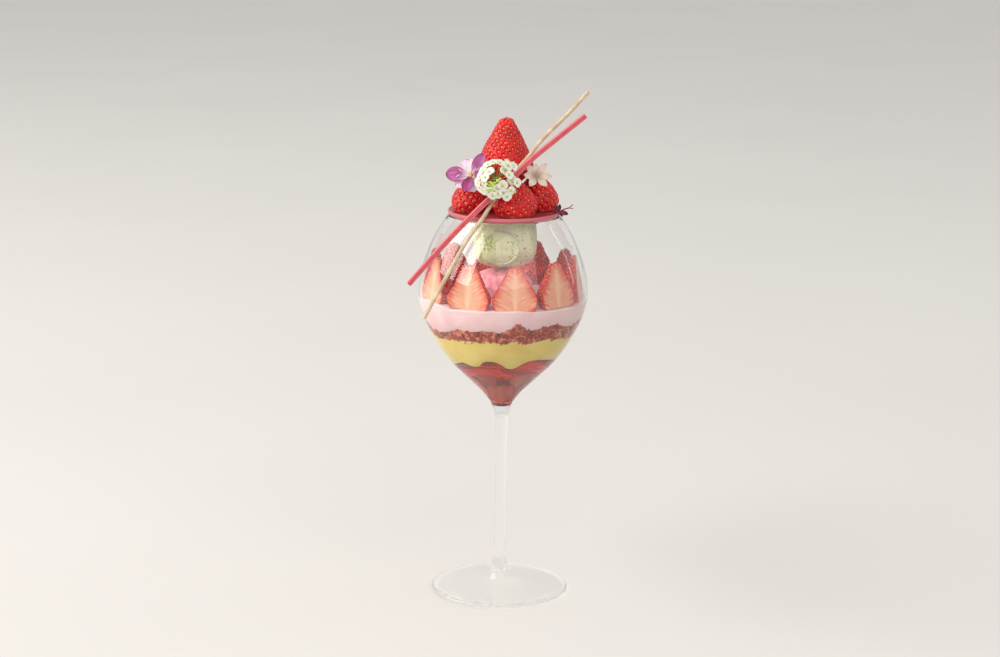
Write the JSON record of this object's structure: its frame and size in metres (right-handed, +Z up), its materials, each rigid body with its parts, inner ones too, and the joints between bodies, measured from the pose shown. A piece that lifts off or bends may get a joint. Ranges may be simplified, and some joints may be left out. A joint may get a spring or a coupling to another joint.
{
  "type": "parfait",
  "caption": "Layered strawberry parfait in a stemmed balloon glass, topped with whole berries, edible flowers and thin biscuit sticks.",
  "frame": {"origin": "middle of the flat underside of the glass's foot", "axes": "+Z up along the stem, -Y towards the front"},
  "size_m": [0.1023, 0.0968, 0.2941],
  "materials": {
    "glass": "clear, polished",
    "jelly": "clear dark red, glossy",
    "yellow_cream": "smooth, satin",
    "crumble": "rough crumbs",
    "pink_cream": "smooth, satin",
    "cut_berry": "moist flesh with red skin",
    "pink_sorbet": "frosted",
    "pistachio": "creamy with green specks",
    "red_disc": "satin",
    "berry": "glossy skin with sunk seeds",
    "viola": "soft petal",
    "white_flower": "soft petal",
    "star_flower": "soft petal",
    "red_leaf": "soft leaf",
    "pink_biscuit": "dry, matt",
    "cream_biscuit": "dry, matt"
  },
  "bodies": {
    "root": {"glass": "glass", "jelly": "jelly", "yellow_cream": "yellow_cream", "crumble": "crumble", "pink_cream": "pink_cream", "half_01": "cut_berry", "half_02": "cut_berry", "half_03": "cut_berry", "half_04": "cut_berry", "half_05": "cut_berry", "half_06": "cut_berry", "half_07": "cut_berry", "half_08": "cut_berry", "half_09": "cut_berry", "half_10": "cut_berry", "pink_sorbet": "pink_sorbet", "pistachio_scoop": "pistachio", "red_disc": "red_disc", "berry_left": "berry", "berry_front": "berry", "berry_right": "berry", "berry_back": "berry", "berry_top": "berry", "viola": "viola", "flower_head": "white_flower", "star_flower": "star_flower", "red_sprig": "red_leaf", "pink_stick": "pink_biscuit", "cream_stick": "cream_biscuit"}
  },
  "joints": []
}
